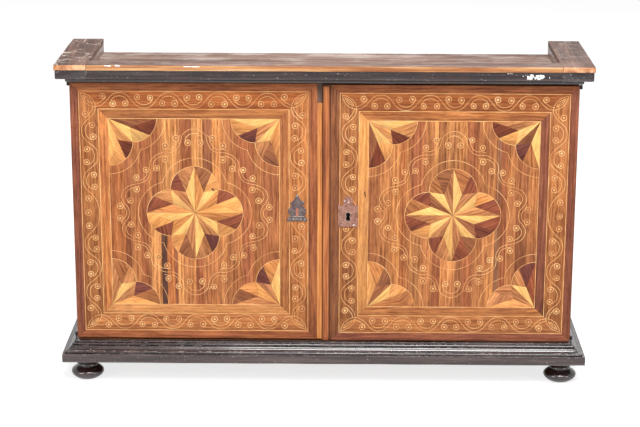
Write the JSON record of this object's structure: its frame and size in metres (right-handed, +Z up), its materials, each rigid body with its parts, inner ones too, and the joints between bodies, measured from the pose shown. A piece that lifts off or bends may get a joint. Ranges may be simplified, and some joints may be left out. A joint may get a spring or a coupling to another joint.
{
  "type": "papelera cabinet",
  "caption": "Low wooden cabinet on bun feet with two marquetry doors on pin hinges, a lock, shoot bolts, shelves inside and a shallow tray on top.",
  "frame": {"origin": "on the floor under the middle of the cabinet's bounding box", "axes": "+X to the viewer's right along the front, +Y from the doors to the back, +Z up"},
  "size_m": [1.058, 0.287, 0.6586],
  "materials": {
    "ebonised_wood": "ebonised and worn, satin",
    "carcass_wood": "plain carcass wood, dry",
    "side_wood": "plain side boards, worn wax",
    "back_wood": "rough unfinished boards",
    "cap_wood": "worn, dusty top, pale front edge",
    "roof_wood": "dusty unfinished board",
    "door_wood": "plain panel wood",
    "border_veneer": "reddish-brown sawn veneer, waxed",
    "scroll_veneer": "orange-brown sawn veneer, waxed",
    "inner_band_veneer": "brown sawn veneer, waxed",
    "ground_veneer": "striped orange-brown sawn veneer, waxed",
    "light_inlay": "light yellow wood, waxed",
    "brown_inlay": "mid-brown wood, waxed",
    "dark_inlay": "dark wood, waxed",
    "lipping_wood": "light orange strip",
    "bead_wood": "reddish-brown, worn",
    "wrought_iron": "wrought iron, brown patina"
  },
  "bodies": {
    "case": {"foot_front_left": "ebonised_wood", "foot_front_right": "ebonised_wood", "foot_back_left": "ebonised_wood", "foot_back_right": "ebonised_wood", "foot_blocks": "carcass_wood", "base_board": "carcass_wood", "base_back": "carcass_wood", "base_front": "ebonised_wood", "base_left": "ebonised_wood", "base_right": "ebonised_wood", "side_left": "side_wood", "side_right": "side_wood", "bottom_board": "carcass_wood", "top_rail": "carcass_wood", "centre_partition": "carcass_wood", "shelf_left": "carcass_wood", "shelf_right": "carcass_wood", "shelf_cleats": "carcass_wood", "back_boards": "back_wood", "roof_board": "roof_wood", "top_fillets": "ebonised_wood", "cornice_front": "ebonised_wood", "cornice_left": "ebonised_wood", "cornice_right": "ebonised_wood", "cap_front": "cap_wood", "cap_left": "cap_wood", "cap_right": "cap_wood", "left_hinge_pins": "wrought_iron", "right_hinge_pins": "wrought_iron"},
    "left_door": {"left_core": "door_wood", "left_border": "border_veneer", "left_scroll_band": "scroll_veneer", "left_inner_band": "inner_band_veneer", "left_ground": "ground_veneer", "left_star_light": "light_inlay", "left_star_brown": "brown_inlay", "left_star_dark": "dark_inlay", "left_lipping": "lipping_wood", "left_keeper": "wrought_iron", "left_escutcheon": "wrought_iron", "left_hinge_eyes": "wrought_iron", "bolt_plates": "wrought_iron"},
    "right_door": {"right_core": "door_wood", "right_border": "border_veneer", "right_scroll_band": "scroll_veneer", "right_inner_band": "inner_band_veneer", "right_ground": "ground_veneer", "right_star_light": "light_inlay", "right_star_brown": "brown_inlay", "right_star_dark": "dark_inlay", "meeting_bead": "bead_wood", "lock_plate": "wrought_iron", "lock_case": "wrought_iron", "right_hinge_eyes": "wrought_iron"},
    "lock_bolt": {"lock_bolt": "wrought_iron"},
    "upper_bolt": {"upper_bolt": "wrought_iron"},
    "lower_bolt": {"lower_bolt": "wrought_iron"}
  },
  "joints": [
    {"name": "left_door_hinge", "type": "hinge", "parent": "case", "child": "left_door", "pos_m": [-0.5035, -0.1045, 0.3], "axis": [0, 0, -1], "range_deg": [0, 175]},
    {"name": "right_door_hinge", "type": "hinge", "parent": "case", "child": "right_door", "pos_m": [0.5035, -0.1045, 0.3], "axis": [0, 0, 1], "range_deg": [0, 175]},
    {"name": "lock_bolt_slide", "type": "slide", "parent": "right_door", "child": "lock_bolt", "axis": [-1, 0, 0], "range_m": [0, 0.01]},
    {"name": "upper_bolt_slide", "type": "slide", "parent": "left_door", "child": "upper_bolt", "axis": [0, 0, 1], "range_m": [0, 0.012]},
    {"name": "lower_bolt_slide", "type": "slide", "parent": "left_door", "child": "lower_bolt", "axis": [0, 0, -1], "range_m": [0, 0.012]}
  ]
}
